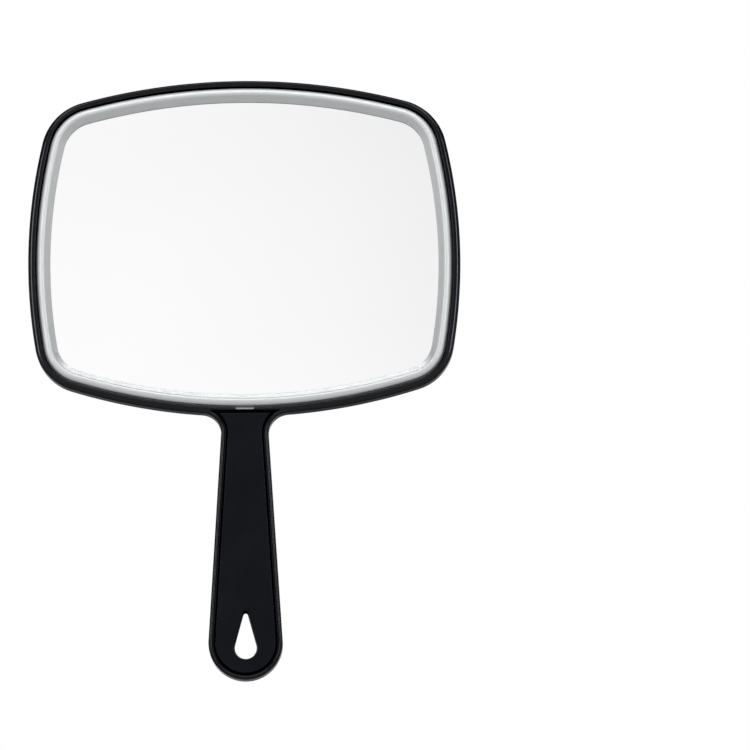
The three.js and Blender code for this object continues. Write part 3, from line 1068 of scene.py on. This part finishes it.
def world_step(tree, value, start, end):
    """A smooth step from 0 to 1 as a value goes from start to end."""
    step = tree.nodes.new("ShaderNodeMapRange")
    step.interpolation_type = "SMOOTHSTEP"
    step.inputs["From Min"].default_value = start
    step.inputs["From Max"].default_value = end
    tree.links.new(value, step.inputs["Value"])
    return step.outputs["Result"]


def world_vector(tree, operation, vector, other=None):
    node = tree.nodes.new("ShaderNodeVectorMath")
    node.operation = operation
    tree.links.new(vector, node.inputs[0])
    if other:
        node.inputs[1].default_value = other
    return node.outputs["Value" if operation == "LENGTH" else "Vector"]


def make_world():
    """A dim room with a white horizon, sides and back, and a panel that the mirror reflects."""
    world = bpy.data.worlds.new("studio")
    world.use_nodes = True
    bpy.context.scene.world = world
    tree = world.node_tree
    direction = tree.nodes.new("ShaderNodeTexCoord").outputs["Generated"]
    offset = world_vector(tree, "SUBTRACT", direction, PANEL_DIRECTION)
    distance = world_vector(tree, "LENGTH", world_vector(tree, "MULTIPLY", offset, PANEL_SQUEEZE))
    parts = tree.nodes.new("ShaderNodeSeparateXYZ")
    tree.links.new(direction, parts.inputs["Vector"])
    sizes = tree.nodes.new("ShaderNodeSeparateXYZ")
    tree.links.new(world_vector(tree, "ABSOLUTE", direction), sizes.inputs["Vector"])
    steps = [
        world_step(tree, distance, *PANEL_FADE),
        world_step(tree, sizes.outputs["Z"], *HORIZON_FADE),
        world_step(tree, sizes.outputs["X"], *SIDE_FADE),
        world_step(tree, parts.outputs["Y"], *BACK_FADE),
    ]
    share = steps[0]
    for step in steps[1:]:
        least = tree.nodes.new("ShaderNodeMath")
        least.operation = "MINIMUM"
        tree.links.new(share, least.inputs[0])
        tree.links.new(step, least.inputs[1])
        share = least.outputs["Value"]
    mix = tree.nodes.new("ShaderNodeMix")
    mix.data_type = "RGBA"
    mix.inputs["A"].default_value = WHITE
    mix.inputs["B"].default_value = DIM
    tree.links.new(share, mix.inputs["Factor"])
    tree.links.new(mix.outputs["Result"], tree.nodes["Background"].inputs["Color"])


def make_floor():
    """A plain pale floor, lit near its centre, that glows white with distance from its centre:
    painted light.
    """
    body = bmesh.new()
    bmesh.ops.create_circle(body, cap_ends=True, segments=FLOOR_SIDES, radius=FLOOR_RADIUS)
    mesh = bpy.data.meshes.new("floor")
    body.to_mesh(mesh)
    body.free()
    floor = bpy.data.objects.new("floor", mesh)
    floor.location = (0, FLOOR_BEHIND, FLOOR_Z)
    bpy.context.collection.objects.link(floor)
    material = new_material("floor", Roughness=0.9, Specular_IOR_Level=0.1)
    tree = material.node_tree
    shader = tree.nodes["Principled BSDF"]
    shader.inputs["Base Color"].default_value = FLOOR_COLOUR
    # Painted light: an emission makes the floor glow white away from its centre
    glow = add(material, "ShaderNodeEmission")
    glow.inputs["Color"].default_value = WHITE
    place_node = add(material, "ShaderNodeTexCoord")
    length = add(material, "ShaderNodeVectorMath", operation="LENGTH")
    link(material, place_node.outputs["Object"], length.inputs[0])
    fade = add(material, "ShaderNodeMapRange", interpolation_type="SMOOTHSTEP")
    fade.inputs["From Min"].default_value, fade.inputs["From Max"].default_value = FLOOR_GLOW_SPAN
    link(material, length.outputs["Value"], fade.inputs["Value"])
    mix = add(material, "ShaderNodeMixShader")
    link(material, fade.outputs["Result"], mix.inputs["Fac"])
    link(material, shader.outputs["BSDF"], mix.inputs[1])
    link(material, glow.outputs["Emission"], mix.inputs[2])
    link(material, mix.outputs["Shader"], tree.nodes["Material Output"].inputs["Surface"])
    mesh.materials.append(material)


def softbox(name, position, size, radiance):
    """A soft area light aimed at the mirror."""
    data = bpy.data.lights.new(name, "AREA")
    data.shape = "RECTANGLE"
    data.size, data.size_y = size
    data.energy = radiance * math.pi * size[0] * size[1]
    lamp = bpy.data.objects.new(name, data)
    bpy.context.collection.objects.link(lamp)
    lamp.location = position
    aim = Vector((0, 0, PADDLE_Z)) - lamp.location
    lamp.rotation_euler = aim.to_track_quat("-Z", "Y").to_euler()
    lamp.visible_camera = False


def make_lights():
    """Softboxes above and tall bright ones at the sides, in front and behind."""
    softbox("top_light", position=(0, -1, 1.13), size=(1.6, 0.9), radiance=4.0)
    softbox("back_top_light", position=(0, 0.9, 1.2), size=(1.0, 0.6), radiance=5.0)
    for name, side in (("left", -1), ("right", 1)):
        front = (0.8 * side, -1.27, 0.38)
        softbox(f"{name}_light", position=front, size=(0.25, 0.5), radiance=13.0)
        behind = (1.2 * side, 0.9, 0.35)
        softbox(f"back_{name}_light", position=behind, size=(0.2, 0.7), radiance=11.0)


# ---- Assembly -----------------------------------------------------------------------

PIECES = [
    (make_frame, "frame_body", frame_plastic),
    (make_bezel, "bezel_ring", silver_trim),
    (make_glass, "mirror_glass", silvered_glass),
    (make_panel, "handle_front_panel", panel_plastic),
    (make_cover, "back_cover", cover_plastic),
]

for make, node_name, look in PIECES:
    place(make(), node_name, look())

FOAM = foam()
for pad_name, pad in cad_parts.items():
    if pad_name.startswith("mounting_pad"):
        pad.data.materials.clear()
        pad.data.materials.append(FOAM)

make_camera()
make_world()
make_floor()
make_lights()
bpy.context.scene.view_settings.view_transform = "Standard"
